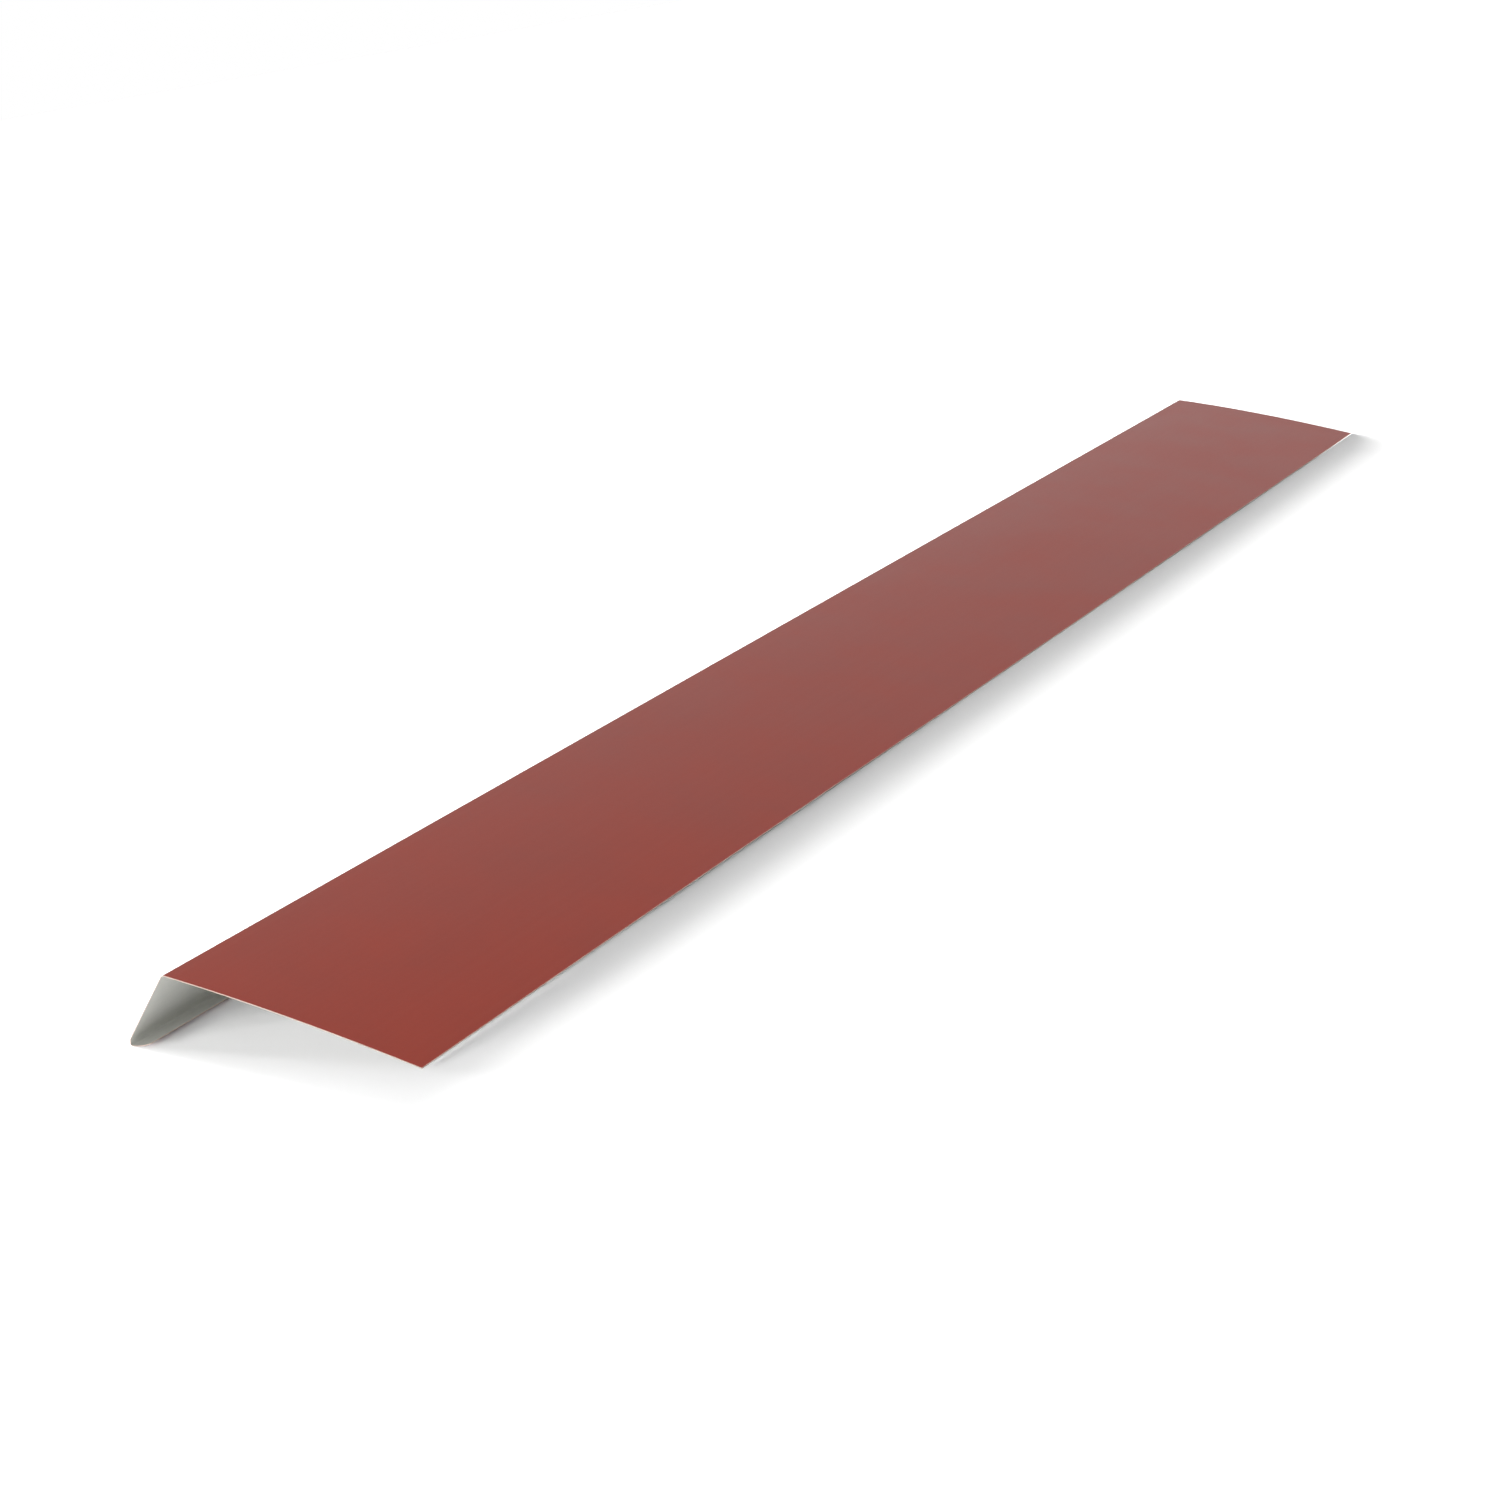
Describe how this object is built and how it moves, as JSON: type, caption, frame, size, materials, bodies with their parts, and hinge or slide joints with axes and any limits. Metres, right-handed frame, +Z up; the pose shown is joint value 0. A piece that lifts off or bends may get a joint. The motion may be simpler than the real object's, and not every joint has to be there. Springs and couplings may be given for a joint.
{
  "type": "eaves flashing",
  "caption": "Long folded steel sheet for a roof's eaves: a wide flange lies on the deck, and a short leg hangs down to a drip edge folded back under itself.",
  "frame": {"origin": "on the floor below the middle of the sheet's box, as it lies unheld on its drip edge and the flange's free edge", "axes": "+Y along the sheet, the way the eaves run; +X across it, from the drip edge to the flange's free edge; +Z up"},
  "size_m": [0.2834, 2, 0.0597],
  "materials": {
    "painted_sheet": "semi-matt brick-red coil coating on the outer face, grey-green backing coat on the inner face, bare cut edges"
  },
  "bodies": {
    "root": {"flashing_sheet": "painted_sheet"}
  },
  "joints": []
}
